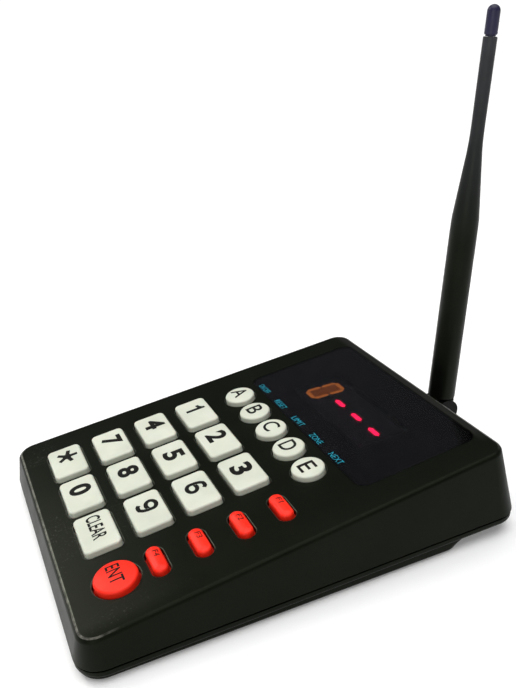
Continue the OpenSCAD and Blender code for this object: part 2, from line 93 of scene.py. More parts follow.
# The keys: the flange under the face and the outlines
FLANGE_TOP = -2.3
FLANGE_T = 1.0
FLANGE_OUT = 0.9  # beyond the edge of the opening
NUMBER_W, NUMBER_D, NUMBER_R = 20.3, 13.0, 2.0
PILL_W, PILL_D = 13.2, 5.3
LETTER_R = 6.1
ENTER_R = 7.3

# Of each cap: the height of its top, the radius of its edge, its wall, how far its top bulges, and
# half its depth
CAPS = {
    "number": dict(top=2.0, edge=0.85, wall=1.4, bulge=0.0, half=NUMBER_D / 2),
    "letter": dict(top=2.0, edge=0.8, wall=1.4, bulge=0.15, half=LETTER_R),
    "function": dict(top=2.0, edge=1.1, wall=1.2, bulge=0.35, half=PILL_D / 2),
    "enter": dict(top=2.4, edge=1.0, wall=1.4, bulge=0.45, half=ENTER_R),
}


def moved(x, y, z):
    return Matrix.Translation((x, y, z))


def turned(degrees, axis="X"):
    return Matrix.Rotation(math.radians(degrees), 4, axis)


def tan(degrees):
    return math.tan(math.radians(degrees))


# The frames that pieces are drawn in. A LOCAL one stands in the case's, in millimetres, except
# LOCAL_CASE, which stands on the table
TABLE = Matrix.Scale(0.001, 4)
LOCAL_CASE = moved(0, 0, SEAM_Z) @ turned(TILT)
LOCAL_FACE = moved(0, 0, FACE_H) @ turned(SLOPE)
LOCAL_WHIP = moved(ANT_X, HINGE_Y, ANT_Z) @ turned(-WHIP_LEAN)
LOCAL_ANTENNA = moved(ANT_X, 0, ANT_Z) @ turned(-90)
CASE = TABLE @ LOCAL_CASE
FACE = CASE @ LOCAL_FACE
WHIP = CASE @ LOCAL_WHIP
CASE_BACK = CASE.inverted()
FACE_BACK = FACE.inverted()

# ---- Outlines: closed lists of (x, y) ----

CORNERS = [(1, 1), (-1, 1), (-1, -1), (1, -1)]


def rounded(w, d, r, steps=8, x=0.0, y=0.0):
    """A rounded rectangle, anticlockwise from the upper end of its right side."""
    r = min(r, w / 2 - 0.001, d / 2 - 0.001)
    points = []
    for turn, (sx, sy) in enumerate(CORNERS):
        cx = x + sx * (w / 2 - r)
        cy = y + sy * (d / 2 - r)
        for i in range(steps + 1):
            a = math.radians(90 * (turn + i / steps))
            points.append((cx + r * math.cos(a), cy + r * math.sin(a)))
    return points


def circle(r, steps=64, x=0.0, y=0.0):
    angles = [2 * math.pi * i / steps for i in range(steps)]
    return [(x + r * math.cos(a), y + r * math.sin(a)) for a in angles]


def quarter(r, steps=5):
    """(distance in from the wall, distance down from the top) round an edge, from the top to the wall."""
    angles = [math.radians(90 - 90 * i / steps) for i in range(steps + 1)]
    return [(r * (1 - math.cos(a)), r * (1 - math.sin(a))) for a in angles]


def at_height(points, z):
    return [(x, y, z) for x, y in points]


def on_face(points, n, x=0.0, v=0.0):
    """Points of an outline at x, v on the face and n above it, in the case frame."""
    return [tuple(LOCAL_FACE @ Vector((px + x, py + v, n))) for px, py in points]


def flat_on_face(p):
    q = FACE_BACK @ p
    return (q.x, q.y)


def flat_on_rear(p):
    q = CASE_BACK @ p
    return (q.x, q.z)


def flat_plan(p):
    return (p.x * 1000, p.y * 1000)


def inside(p, ring):
    """Whether p is inside the ring, by counting the sides that a line from p crosses."""
    hit = False
    for a, b in zip(ring, ring[1:] + ring[:1]):
        if (a.y > p.y) != (b.y > p.y) and p.x < (b.x - a.x) * (p.y - a.y) / (b.y - a.y) + a.x:
            hit = not hit
    return hit


# ---- Mesh building ----

SHARP_ANGLE = 38  # degrees between two faces from which their edge is drawn sharp


class Form:
    """Vertices and faces of one piece, added loop by loop in the frame of self.matrix."""

    def __init__(self, matrix):
        self.matrix = matrix
        self.points = []
        self.faces = []
        self.painted = []

    def loop(self, points):
        """Adds the points and returns their numbers."""
        start = len(self.points)
        self.points.extend(self.matrix @ Vector(p) for p in points)
        return list(range(start, len(self.points)))

    def bridge(self, a, b, skip=()):
        """Joins two loops of as many points with a band of faces, without the segments in skip."""
        for i in range(len(a)):
            if i not in skip:
                j = (i + 1) % len(a)
                self.faces.append((a[i], a[j], b[j], b[i]))

    def join(self, rings):
        """Bridges each ring to the next."""
        for a, b in zip(rings, rings[1:]):
            self.bridge(a, b)

    def paint(self, first, last=None):
        """Gives the faces from number first up to last, or to the end, the second material."""
        self.painted += range(first, len(self.faces) if last is None else last)

    def stack(self, loops, closed=True):
        """Joins loops of points one to the next, closes both ends, and returns the rings."""
        rings = [self.loop(points) for points in loops]
        self.join(rings)
        if closed:
            self.faces.append(tuple(reversed(rings[0])))
            self.faces.append(tuple(rings[-1]))
        return rings

    def fill(self, outer, holes, flat):
        """Fills a flat region between the loop outer and the loops in holes.

        flat gives a point's two coordinates in the region.
        """
        ids = [i for ring in [outer, *holes] for i in ring]
        spots = [Vector(flat(self.points[i])) for i in ids]
        edges = []
        base = 0
        for ring in [outer, *holes]:
            edges += [(base + i, base + (i + 1) % len(ring)) for i in range(len(ring))]
            base += len(ring)
        _, _, faces, source, _, _ = delaunay_2d_cdt(spots, edges, [], 1, 1e-9)
        rings = [[Vector(flat(self.points[i])) for i in ring] for ring in holes]
        for face in faces:
            picked = [source[i][0] for i in face]
            middle = sum((spots[i] for i in picked), Vector((0, 0))) / len(picked)
            if not any(inside(middle, ring) for ring in rings):
                self.faces.append(tuple(ids[i] for i in picked))

    def lathe(self, profile, steps=64, at=Matrix.Identity(4)):
        """Turns a list of (radius, height) about z of the frame at. A zero radius closes the end."""
        before = self.matrix
        self.matrix = before @ at
        rings = [self.loop(at_height(circle(r, steps), z) if r else [(0, 0, z)]) for r, z in profile]
        for a, b in zip(rings, rings[1:]):
            if len(a) == 1 and len(b) == 1:
                continue
            if len(a) == 1:
                self.faces += [(a[0], b[i], b[(i + 1) % len(b)]) for i in range(len(b))]
            elif len(b) == 1:
                self.faces += [(a[(i + 1) % len(a)], a[i], b[0]) for i in range(len(a))]
            else:
                self.bridge(a, b)
        if len(rings[0]) > 1 and len(rings[-1]) > 1:
            self.bridge(rings[-1], rings[0])
        self.matrix = before

    def make(self, name, material, body, slot=None, nodes=(), second=None):
        """Makes the piece, with its material, its body and the CAD nodes that it replaces."""
        mesh = bpy.data.meshes.new(name)
        mesh.from_pydata([tuple(p) for p in self.points], [], self.faces)
        mesh.materials.append(material)
        if second:
            mesh.materials.append(second)
            for face in self.painted:
                mesh.polygons[face].material_index = 1
        mesh.validate()
        piece = bpy.data.objects.new(name, mesh)
        scene.collection.objects.link(piece)
        outward(mesh)
        mesh.shade_smooth()
        mesh.set_sharp_from_angle(angle=math.radians(SHARP_ANGLE))
        keep_flat = piece.modifiers.new("keep_flat", "WEIGHTED_NORMAL")
        keep_flat.keep_sharp = True
        keep_flat.weight = 100
        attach(piece, body)
        if nodes:
            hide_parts(*nodes)
        return piece


def split(mesh, longest):
    """Cuts a mesh in up to four rounds until no edge is longer than longest."""
    bm = bmesh.new()
    bm.from_mesh(mesh)
    bmesh.ops.triangulate(bm, faces=bm.faces)
    for _ in range(4):
        long = [e for e in bm.edges if e.calc_length() > longest]
        if not long:
            break
        bmesh.ops.subdivide_edges(bm, edges=long, cuts=1)
        bmesh.ops.triangulate(bm, faces=bm.faces)
    bm.to_mesh(mesh)
    bm.free()


def outward(mesh):
    """Turns the normals of a closed mesh outward."""
    bm = bmesh.new()
    bm.from_mesh(mesh)
    bmesh.ops.recalc_face_normals(bm, faces=bm.faces)
    bm.to_mesh(mesh)
    bm.free()


# ---- Materials ----

NOISE_LOW, NOISE_HIGH = 0.3, 0.7  # nearly all of a noise texture lies between these
OLIVE = (0.86, 1.0, 0.68)  # tint of the black plastic's sheen


def opaque(colour):
    """A colour with its alpha. A socket stays as it is."""
    return (*colour, 1) if isinstance(colour, tuple) else colour


class Tree:
    """The nodes of one material, which end in its Principled shader."""

    def __init__(self, name):
        self.material = bpy.data.materials.new(name)
        self.material.use_nodes = True
        self.nodes = self.material.node_tree.nodes
        self.links = self.material.node_tree.links
        self.shader = self.nodes["Principled BSDF"]
        self.place = self.add("ShaderNodeTexCoord").outputs["Object"]

    def add(self, kind, **inputs):
        node = self.nodes.new(kind)
        for key, value in inputs.items():
            self.set(node.inputs[key.replace("_", " ")], value)
        return node

    def set(self, socket, value):
        if isinstance(value, bpy.types.NodeSocket):
            self.links.new(value, socket)
        else:
            socket.default_value = value

    def noise(self, scale, detail, rough=0.55, stretch=None, turn=(0, 0, 0), distortion=0.0):
        place = self.place
        if stretch:
            mapping = self.add("ShaderNodeMapping", Vector=place)
            mapping.inputs["Scale"].default_value = stretch
            mapping.inputs["Rotation"].default_value = [math.radians(a) for a in turn]
            place = mapping.outputs["Vector"]
        node = self.add("ShaderNodeTexNoise", Vector=place, Scale=scale, Detail=detail,
                        Roughness=rough, Distortion=distortion)
        return node.outputs["Fac"]

    def ramp(self, value, *stops):
        node = self.add("ShaderNodeValToRGB", Fac=value)
        band = node.color_ramp
        while len(band.elements) < len(stops):
            band.elements.new(0.5)
        for element, (position, colour) in zip(band.elements, stops):
            element.position = position
            element.color = opaque(colour if isinstance(colour, tuple) else (colour, colour, colour))
        return node.outputs["Color"]

    def blotch(self, scale, detail, dark, light):
        """A colour that drifts between dark and light."""
        return self.ramp(self.noise(scale, detail), (NOISE_LOW, dark), (NOISE_HIGH, light))

    def between(self, value, start, end, low, high):
        """A number that runs from low to high as value runs from start to end."""
        node = self.add("ShaderNodeMapRange", Value=value)
        for key, number in (("From Min", start), ("From Max", end), ("To Min", low), ("To Max", high)):
            node.inputs[key].default_value = number
        return node.outputs["Result"]

    def spread(self, scale, detail, low, high):
        """A number that drifts between low and high."""
        return self.between(self.noise(scale, detail), NOISE_LOW, NOISE_HIGH, low, high)

    def along(self, axis, start, end, low=0.0, high=1.0):
        """A number that runs from low to high between two places, in metres, along an axis of the object."""
        part = self.nodes.new("ShaderNodeSeparateXYZ")
        self.links.new(self.place, part.inputs[0])
        return self.between(part.outputs[axis], start, end, low, high)

    def bump(self, height, strength, distance, under=None):
        node = self.add("ShaderNodeBump", Height=height, Strength=strength, Distance=distance)
        if under is not None:
            self.links.new(under, node.inputs["Normal"])
        return node.outputs["Normal"]

    def mix(self, amount, a, b):
        """Colour a, covered by b as far as amount says."""
        node = self.nodes.new("ShaderNodeMix")
        node.data_type = "RGBA"
        self.set(node.inputs[0], amount)
        self.set(node.inputs[6], opaque(a))
        self.set(node.inputs[7], opaque(b))
        return node.outputs[2]

    def product(self, first, *factors):
        for factor in factors:
            node = self.nodes.new("ShaderNodeMath")
            node.operation = "MULTIPLY"
            self.set(node.inputs[0], first)
            self.set(node.inputs[1], factor)
            first = node.outputs[0]
        return first

    def finish(self, **inputs):
        """Sets the shader's sockets and returns the material."""
        for key, value in inputs.items():
            self.set(self.shader.inputs[key.replace("_", " ")], opaque(value))
        return self.material


def plain(name, dark, light, rough, grain, bump=0.1, metal=0.0, **more):
    """A surface whose colour drifts between dark and light, with uneven roughness and fine grain."""
    t = Tree(name)
    return t.finish(Base_Color=t.blotch(40, 4, dark, light), Roughness=t.spread(92, 5, *rough),
                    Metallic=metal, Normal=t.bump(t.noise(grain, 2), bump, 0.00005), **more)


def case_plastic():
    """Black moulded plastic: fine matte grain, dust haze with a painted sheen at the front, a painted
    highlight behind the window, and scratches.
    """
    t = Tree("case_plastic")
    base = t.blotch(30, 4, (0.0026, 0.0036, 0.0018), (0.0043, 0.0054, 0.0032))
    inboard = t.along("X", 0.058, 0.053)
    # Dust haze with a painted sheen: lighter towards the front and the right, but not on the right wall
    haze = t.product(t.along("Y", -0.040, -0.080), t.along("X", -0.055, 0.015), inboard)
    base = t.mix(haze, base, (0.017, 0.018, 0.014))
    # Painted highlight: a lighter strip along the top's rear edge, behind the window
    rear_highlight_strip = t.product(t.along("Y", 0.0695, 0.0715), t.along("Z", 0.0310, 0.0325),
                              t.along("X", 0.050, 0.042))
    base = t.mix(rear_highlight_strip, base, (0.0140, 0.0143, 0.0128))
    specks = t.ramp(t.noise(1300, 3, 0.7), (0.60, 0.0), (0.68, 1.0))
    streaks = t.noise(70, 2, 0.5, stretch=(1, 0.04, 1), turn=(0, 0, 35), distortion=0.2)
    hairlines = t.ramp(streaks, (0.495, 0.0), (0.5, 0.6), (0.505, 0.0))
    patches = t.ramp(t.noise(45, 3, 0.6), (0.50, 0.0), (0.62, 1.0))
    scratched = t.product(t.mix(0.35, specks, hairlines), inboard, patches, t.along("Y", -0.03, -0.07))
    colour = t.mix(scratched, base, (0.075, 0.077, 0.066))
    waves = t.bump(t.noise(420, 3), 0.10, 0.00012)
    return t.finish(Base_Color=colour, Roughness=t.spread(55, 5, 0.36, 0.46),
                    Normal=t.bump(t.noise(2600, 2, 0.6), 0.22, 0.00005, waves),
                    Specular_IOR_Level=0.07, Specular_Tint=OLIVE)


def case_edge():
    """The same plastic on the edges: glossier, and lighter by a painted highlight except at the right, with
    scuffs and a painted highlight at the front and a painted highlight at the rear.
    """
    t = Tree("case_plastic_edge")
    dull = t.blotch(90, 4, (0.0024, 0.0033, 0.0016), (0.0038, 0.0049, 0.0028))
    bright = t.blotch(260, 4, (0.0060, 0.0068, 0.0052), (0.0150, 0.0160, 0.0130))
    # Painted highlight: the edges are lighter everywhere but at the right
    colour = t.mix(t.along("X", 0.044, 0.054, 1.0, 0.0), dull, bright)
    scuffs_and_highlight = t.ramp(t.noise(420, 4, 0.7), (0.38, 0.15), (0.60, 1.0))
    # Scuffs with a painted highlight along the front edge
    colour = t.mix(t.product(scuffs_and_highlight, t.along("Y", -0.066, -0.077)), colour, (0.135, 0.130, 0.115))
    # Painted highlight along the rear edge
    colour = t.mix(t.product(scuffs_and_highlight, t.along("Y", 0.071, 0.075)), colour, (0.080, 0.081, 0.074))
    return t.finish(Base_Color=colour, Roughness=t.spread(300, 4, 0.28, 0.42),
                    Specular_IOR_Level=t.along("X", 0.044, 0.054, 0.50, 0.06),
                    Specular_Tint=OLIVE, Normal=t.bump(t.noise(1100, 2), 0.2, 0.0001))


def whip_rubber():
    """Black rubber, lighter towards the thin end by a painted highlight."""
    t = Tree("whip_rubber")
    clean = t.blotch(60, 4, (0.0020, 0.0026, 0.0018), (0.0036, 0.0042, 0.0032))
    painted_highlight = t.blotch(90, 3, (0.036, 0.036, 0.043), (0.050, 0.050, 0.060))
    # Painted highlight: lighter towards the thin end
    colour = t.mix(t.along("Z", 0.088, 0.178), clean, painted_highlight)
    return t.finish(Base_Color=colour, Roughness=t.spread(140, 5, 0.34, 0.46),
                    Specular_IOR_Level=0.12, Specular_Tint=OLIVE,
                    Normal=t.bump(t.noise(1400, 2), 0.18, 0.00005))


def key_plastic(name, dark, light, rough, shine):
    """Moulded key cap: slight mottling, a soft sheen from use, faint grain."""
    t = Tree(name)
    colour = t.ramp(t.noise(70, 4), (0.32, dark), (0.68, light))
    normal = t.bump(t.noise(1500, 2), 0.10, 0.00004, t.bump(t.noise(260, 3), 0.12, 0.00010))
    return t.finish(Base_Color=colour, Roughness=t.spread(160, 5, *rough), Normal=normal,
                    Subsurface_Weight=0.08, Subsurface_Scale=0.0015, Specular_IOR_Level=shine)


def smoked_acrylic():
    t = Tree("window_acrylic")
    return t.finish(Base_Color=t.blotch(9, 2, (0.30, 0.29, 0.33), (0.33, 0.32, 0.36)),
                    Roughness=t.spread(140, 4, 0.09, 0.13),
                    Normal=t.bump(t.noise(35, 2), 0.03, 0.0002), Transmission_Weight=1.0, IOR=1.49)


def shade_of(colour, share):
    return tuple(share * c for c in colour)


def glow(name, colour, strength):
    """A lit surface, a little uneven as a moulded light guide is."""
    t = Tree(name)
    return t.finish(Base_Color=shade_of(colour, 0.3), Roughness=0.5,
                    Emission_Color=t.blotch(400, 2, shade_of(colour, 0.75), colour),
                    Emission_Strength=strength)


def ink(name, colour, wear=0.85):
    t = Tree(name)
    shade = t.ramp(t.noise(900, 3), (0.35, shade_of(colour, wear)), (0.65, colour))
    return t.finish(Base_Color=shade, Roughness=t.spread(500, 3, 0.45, 0.6), Specular_IOR_Level=0.12)


def solder_mask():
    t = Tree("circuit_board")
    tracks = t.noise(260, 1, 0.4, stretch=(1, 0.2, 1))
    colour = t.ramp(tracks, (0.47, (0.006, 0.060, 0.022)), (0.53, (0.012, 0.110, 0.038)))
    return t.finish(Base_Color=colour, Roughness=t.spread(300, 4, 0.28, 0.42),
                    Normal=t.bump(t.noise(260, 1), 0.2, 0.00005))


# Every material, by what it is on or made of
M = {
    "case": case_plastic(),
    "case_edge": case_edge(),
    "white": key_plastic("key_white", (0.57, 0.595, 0.495), (0.65, 0.67, 0.565), (0.42, 0.55), 0.5),
    "red": key_plastic("key_red", (0.88, 0.017, 0.005), (0.98, 0.028, 0.010), (0.40, 0.52), 0.24),
    "window": smoked_acrylic(),
    "board": solder_mask(),
    "silicone": plain("silicone", (0.52, 0.53, 0.53), (0.62, 0.63, 0.62), (0.45, 0.6), 900,
                      Subsurface_Weight=0.1, Subsurface_Scale=0.002),
    "resin": plain("black_resin", (0.010, 0.010, 0.011), (0.018, 0.018, 0.019), (0.35, 0.5), 1800, 0.15),
    "switch": plain("switch_plastic", (0.012, 0.012, 0.012), (0.022, 0.022, 0.021), (0.4, 0.55), 1500, 0.15),
    "capacitor": plain("capacitor_sleeve", (0.010, 0.012, 0.030), (0.016, 0.020, 0.045), (0.25, 0.35),
                       700, 0.05),
    "ribbon": plain("ribbon_pvc", (0.34, 0.34, 0.36), (0.42, 0.42, 0.44), (0.4, 0.5), 900, 0.1),
    "tinned": plain("tinned_steel", (0.52, 0.53, 0.54), (0.62, 0.62, 0.62), (0.25, 0.42), 1200, 0.08, 1.0),
    "steel": plain("screw_steel", (0.42, 0.42, 0.43), (0.56, 0.56, 0.56), (0.22, 0.40), 1500, 0.10, 1.0),
    "brass": plain("gilt_brass", (0.62, 0.42, 0.15), (0.78, 0.55, 0.22), (0.18, 0.34), 1500, 0.08, 1.0),
    "copper": plain("copper_wire", (0.62, 0.28, 0.14), (0.75, 0.36, 0.18), (0.25, 0.4), 1500, 0.08, 1.0),
    "elbow": plain("elbow_plastic", (0.0024, 0.0030, 0.0020), (0.0040, 0.0046, 0.0034), (0.40, 0.52),
                   1800, 0.15, Specular_IOR_Level=0.10),
    "whip": whip_rubber(),
    "tip": plain("whip_tip_plastic", (0.012, 0.011, 0.036), (0.020, 0.018, 0.055), (0.36, 0.48),
                 1600, 0.12, Specular_IOR_Level=0.3),
    "rubber": plain("feet_rubber", (0.020, 0.020, 0.020), (0.034, 0.034, 0.033), (0.6, 0.75), 1200, 0.25),
    "bezel": plain("display_body", (0.0045, 0.0045, 0.006), (0.006, 0.006, 0.008), (0.5, 0.65), 900, 0.08),
    "unlit": plain("segment_unlit", (0.009, 0.007, 0.007), (0.012, 0.009, 0.009), (0.3, 0.4), 900, 0.05),
    "pink": glow("segment_pink", (1.0, 0.009, 0.065), 6.5),
    "orange": glow("segment_orange", (0.80, 0.23, 0.035), 1.35),
    "brown": glow("digit_haze", (0.55, 0.135, 0.018), 0.62),
    "halo": glow("segment_halo", (0.60, 0.006, 0.050), 0.8),
    "mask": ink("window_print", (0.0010, 0.0010, 0.0014), 0.8),
    "black_ink": ink("print_black", (0.006, 0.006, 0.005)),
    "cyan_ink": ink("print_cyan", (0.030, 0.62, 0.88)),
}

# ---- Case shells ----

CORNER_STEPS = 12
FLAT_REAR = CORNER_STEPS  # the loops' segment that runs along the rear wall
RIM = 0.45  # rounding of the key openings' edges
EASE = 0.25  # broken edge of the upper shell's seam and of the holes underneath
BOSS_R = 3.5
BOSS_BORE_R = 1.5
BOSS_FOOT = 1.05
BOSS_BORE_END = 8.8


# The lower shell: the tray, with heights over the seam
TRAY_IN = 0.2  # how far it stands inside the upper shell's outline
TRAY_EASE = 0.2
TRAY_BORE_END = -0.95
LIP_TOP = 1.6
LIP_GAP = 0.45
LIP_T = 1.2

# The wedge foot, with heights over the table
FOOT_POCKET_END = 1.85
FOOT_BORE_END = 4.1
FOOT_END_L = 5.4  # length of its sloped rear end
FOOT_EDGE_R = 1.2


def layer_at(depth, inset, front):
    """Height at which the plane depth under the face meets the front or rear wall moved in by inset."""
    sign, lean = (-1, FRONT_LEAN) if front else (1, REAR_LEAN)
    top = FACE_H - depth / math.cos(math.radians(SLOPE)) + sign * (CASE_L / 2 - inset) * tan(SLOPE)
    return top / (1 + sign * tan(SLOPE) * tan(lean))


def face_loop(depth, i, s):
    """A loop round the face, depth under it and i inside walls that stand in by s."""
    r = FACE_R - i - s / 2
    points = []
    for turn, (sx, sy) in enumerate(CORNERS):
        z = layer_at(depth, s, sy < 0)
        lean = FRONT_LEAN if sy < 0 else REAR_LEAN
        cx = sx * (CASE_W / 2 - s - z * tan(SIDE_LEAN) - i - r)
        cy = sy * (CASE_L / 2 - s - z * tan(lean) - i - r)
        cz = z - sy * (i + r) * tan(SLOPE)
        for k in range(CORNER_STEPS + 1):
            a = math.radians(90 * (turn + k / CORNER_STEPS))
            up = r * math.sin(a)
            y = cy + up * math.cos(math.radians(SLOPE))
            z_here = cz + up * math.sin(math.radians(SLOPE))
            points.append((cx + r * math.cos(a), y, z_here))
    return points


def seam_loop(inset, z):
    return at_height(rounded(CASE_W - 2 * inset, CASE_L - 2 * inset, SEAM_R - inset, CORNER_STEPS), z)


def on_wall(points, low_loop, high_loop, depth=0.0):
    """Points (x, z) laid on the rear wall, which runs between two loops, and depth inside it."""
    low, high = Vector(low_loop[FLAT_REAR]), Vector(high_loop[FLAT_REAR])
    slope = (high.y - low.y) / (high.z - low.z)
    return [(x, low.y + (z - low.z) * slope - depth, z) for x, z in points]


def key_kind(name):
    mark = name.removeprefix("key_")
    if mark == "enter":
        return "enter"
    if mark in "abcde":
        return "letter"
    return "function" if mark in ("f1", "f2", "f3", "f4") else "number"


def key_outline(kind, grow):
    """Outline of a key, moved out by grow."""
    if kind == "number":
        return rounded(NUMBER_W + 2 * grow, NUMBER_D + 2 * grow, NUMBER_R + grow, 7)
    if kind == "letter":
        return circle(LETTER_R + grow, 72)
    if kind == "enter":
        return circle(ENTER_R + grow, 88)
    return rounded(PILL_W + 2 * grow, PILL_D + 2 * grow, PILL_D / 2 + grow, 16)


def key_gap(kind):
    """Gap between a key and its opening."""
    return 0.5 if kind in ("enter", "function") else 0.35


def centre_on_face(name):
    spots = [FACE_BACK @ v.co for v in NODES[name].data.vertices]
    return tuple((min(s[k] for s in spots) + max(s[k] for s in spots)) / 2 for k in (0, 1))


KEY_NAMES = sorted(n for n in NODES if n.startswith("key_"))
KEY_AT = {name: centre_on_face(name) for name in KEY_NAMES}


def wall_holes(form, outer_pair, inner_pair, wall):
    """Fills the outside and the inside of the rear wall round its three holes.

    Each pair is the rings below and above the wall. wall holds the points of those four loops.
    """
    w, h = SWITCH_HOLE
    shapes = [
        (circle(ANT_HOLE_R, 40, ANT_X, ANT_Z), circle(ANT_HOLE_R + 0.2, 40, ANT_X, ANT_Z)),
        (circle(JACK_HOLE_R, 48, JACK_X, JACK_Z), circle(JACK_HOLE_R + 0.25, 48, JACK_X, JACK_Z)),
        (rounded(w, h, 0.3, 4, SWITCH_X, SWITCH_Z), rounded(w + 0.5, h + 0.5, 0.55, 4, SWITCH_X, SWITCH_Z)),
    ]
    outside = []
    within = []
    for tight, wide in shapes:
        rim = form.loop(on_wall(wide, *wall[:2]))
        lip = form.loop(on_wall(tight, *wall[:2], 0.3))
        back = form.loop(on_wall(tight, *wall[2:]))
        form.join([rim, lip, back])
        outside.append(rim)
        within.append(back)
    for (a, b), holes in ((outer_pair, outside), (inner_pair, within)):
        edge = [a[FLAT_REAR], a[FLAT_REAR + 1], b[FLAT_REAR + 1], b[FLAT_REAR]]
        form.fill(edge, holes, flat_on_rear)


def face_holes(form, outer, inner):
    """Fills the top and the underside of the face round the key openings and the window's bed."""
    top_holes = []
    under_holes = []
    for name, (x, v) in KEY_AT.items():
        kind = key_kind(name)
        gap = key_gap(kind)
        rim = [form.loop(on_face(key_outline(kind, gap + i), -down, x, v)) for i, down in quarter(RIM, 5)]
        under = form.loop(on_face(key_outline(kind, gap), -WALL, x, v))
        since = len(form.faces)
        form.join(rim)
        # The rims take the edge material, with its painted highlight
        form.paint(since)
        form.bridge(rim[-1], under)
        top_holes.append(rim[0])
        under_holes.append(under)

    # (how far outside the window's outline, depth) down to the window's bed and through its middle
    w, d, r = WINDOW["w"], WINDOW["d"], WINDOW["r"]
    bed = 0.05 - WINDOW_LOW
    steps = [(0.7, 0.0), (0.5, 0.045), (0.42, 0.13), (0.4, 0.24), (0.4, bed), (-4.6, bed), (-4.6, WALL)]
    rings = [form.loop(on_face(rounded(w + g, d + g, r + g / 2, 10), -down, 0, WINDOW["v"]))
             for g, down in steps]
    form.join(rings)
    form.fill(outer, top_holes + [rings[0]], flat_on_face)
    form.fill(inner, under_holes + [rings[-1]], flat_on_face)


def upper_shell():
    form = Form(CASE)
    low = seam_loop(0, SEAM_GAP / 2 + EASE)
    foot = [seam_loop(WALL, SEAM_GAP / 2), seam_loop(EASE, SEAM_GAP / 2),
            seam_loop(0.07, SEAM_GAP / 2 + 0.07), low]
    edge = [face_loop(down, i, 0) for i, down in reversed(quarter(EDGE_R, 7))]
    outer = [form.loop(points) for points in foot + edge]
    wall_at = len(foot) - 1
    highlight_bands = range(wall_at + 5, len(outer) - 2)  # the bands of the face's edge that take the edge material, with its painted highlight
    for k, (a, b) in enumerate(zip(outer, outer[1:])):
        since = len(form.faces)
        form.bridge(a, b, skip=(FLAT_REAR,) if k == wall_at else ())
        if k in highlight_bands:
            form.paint(since)
    roof = [face_loop(WALL + down, i, WALL) for i, down in reversed(quarter(EDGE_R, 4))]
    inner = [outer[0]] + [form.loop(points) for points in roof]
    for k, (a, b) in enumerate(zip(inner, inner[1:])):
        form.bridge(a, b, skip=(FLAT_REAR,) if k == 0 else ())
    wall_holes(form, outer[wall_at:wall_at + 2], inner[:2], (low, edge[0], foot[0], roof[0]))
    face_holes(form, outer[-1], inner[-1])

    # Bosses inside, and the pad round the antenna socket
    for x, y in CASE_SCREWS:
        top = FACE_H + y * tan(SLOPE) - 1.2
        boss = [(BOSS_BORE_R, BOSS_FOOT), (BOSS_R, BOSS_FOOT), (BOSS_R, top), (0, top),
                (0, BOSS_BORE_END), (BOSS_BORE_R, BOSS_BORE_END)]
        form.lathe(boss, 32, moved(x, y, 0))
    pad = [(ANT_HOLE_R, PAD_Y - 5.2), (6.5, PAD_Y - 5.2), (6.5, PAD_Y - 0.4), (6.4, PAD_Y - 0.1),
           (6.1, PAD_Y), (ANT_HOLE_R, PAD_Y)]
    form.lathe(pad, 56, LOCAL_ANTENNA)
    form.make("upper_shell_body", M["case"], "case", "case_plastic", ["upper_shell"], M["case_edge"])


def sunk_hole(form, r, steps, x, y, start, end):
    """A round hole from height start up to end, with an eased edge and a flat bottom. Returns its rim."""
    levels = [(r + EASE, start), (r, start + EASE), (r, end)]
    rings = [form.loop(at_height(circle(radius, steps, x, y), z)) for radius, z in levels]
    form.join(rings)
    form.faces.append(tuple(rings[-1]))
    return rings[0]


def lower_shell():
    form = Form(CASE)
    w, d = CASE_W - 2 * TRAY_IN, CASE_L - 2 * TRAY_IN
    seam = -SEAM_GAP / 2
    lip = WALL + LIP_GAP - TRAY_IN  # how far the lip stands inside the tray's outline

    # (inset, height) from the tray's floor over the lip to the outer wall and its rounding
    section = [(lip + LIP_T, WALL - TRAY_D), (lip + LIP_T, LIP_TOP), (lip, LIP_TOP), (lip, seam),
               (TRAY_EASE, seam), (0.06, seam - 0.06), (0, seam - TRAY_EASE)]
    section += [(i, -TRAY_D + down) for i, down in reversed(quarter(EDGE_R, 6))]
    rings = [form.loop(at_height(rounded(w - 2 * i, d - 2 * i, SEAM_R - i, CORNER_STEPS), z))
             for i, z in section]
    form.join(rings)
    form.faces.append(tuple(rings[0]))
    bores = [sunk_hole(form, SCREW_BORE_R, 40, x, y, -TRAY_D, TRAY_BORE_END)
             for x, y in CASE_SCREWS if y > 0]
    form.fill(rings[-1], bores, flat_plan)

    # The wedge foot stands level on the table
    form.matrix = TABLE
    front, rear, top_rear = -CASE_L / 2 + 1, WEDGE_END, WEDGE_END + FOOT_END_L
    width, r = CASE_W - 2, SEAM_R - 1
    top = rounded(width, top_rear - front, r, CORNER_STEPS, 0, (front + top_rear) / 2)
    rings = [form.loop([tuple(LOCAL_CASE @ Vector((x, y, 0.6 - TRAY_D))) for x, y in top])]
    for i, down in reversed(quarter(FOOT_EDGE_R, 5)):
        low = rounded(width - 2 * i, rear - front - 2 * i, r - i, CORNER_STEPS, 0, (front + rear) / 2)
        rings.append(form.loop(at_height(low, FOOT_PROUD + down)))
    form.join(rings)
    form.faces.append(tuple(rings[0]))
    holes = [sunk_hole(form, FOOT_R + 0.05, 48, x, y, FOOT_PROUD, FOOT_POCKET_END)
             for x, y in FEET]
    holes += [sunk_hole(form, SCREW_BORE_R, 48, x, y, FOOT_PROUD, FOOT_BORE_END)
              for x, y in CASE_SCREWS if y < 0]
    form.fill(rings[-1], holes, flat_plan)
    form.make("lower_shell_body", M["case"], "case", "case_plastic", ["lower_shell"])


def feet():
    form = Form(TABLE)
    pad = [(0, 0.05), (3.9, 0), (4.3, 0.02), (4.6, 0.14), (4.75, 0.35),
           (FOOT_R, 0.75), (FOOT_R, 1.8), (0, 1.8)]
    for x, y in FEET:
        form.lathe(pad, 56, moved(x, y, 0))
    form.make("rubber_foot_pads", M["rubber"], "case", "feet_rubber", ["rubber_feet"])


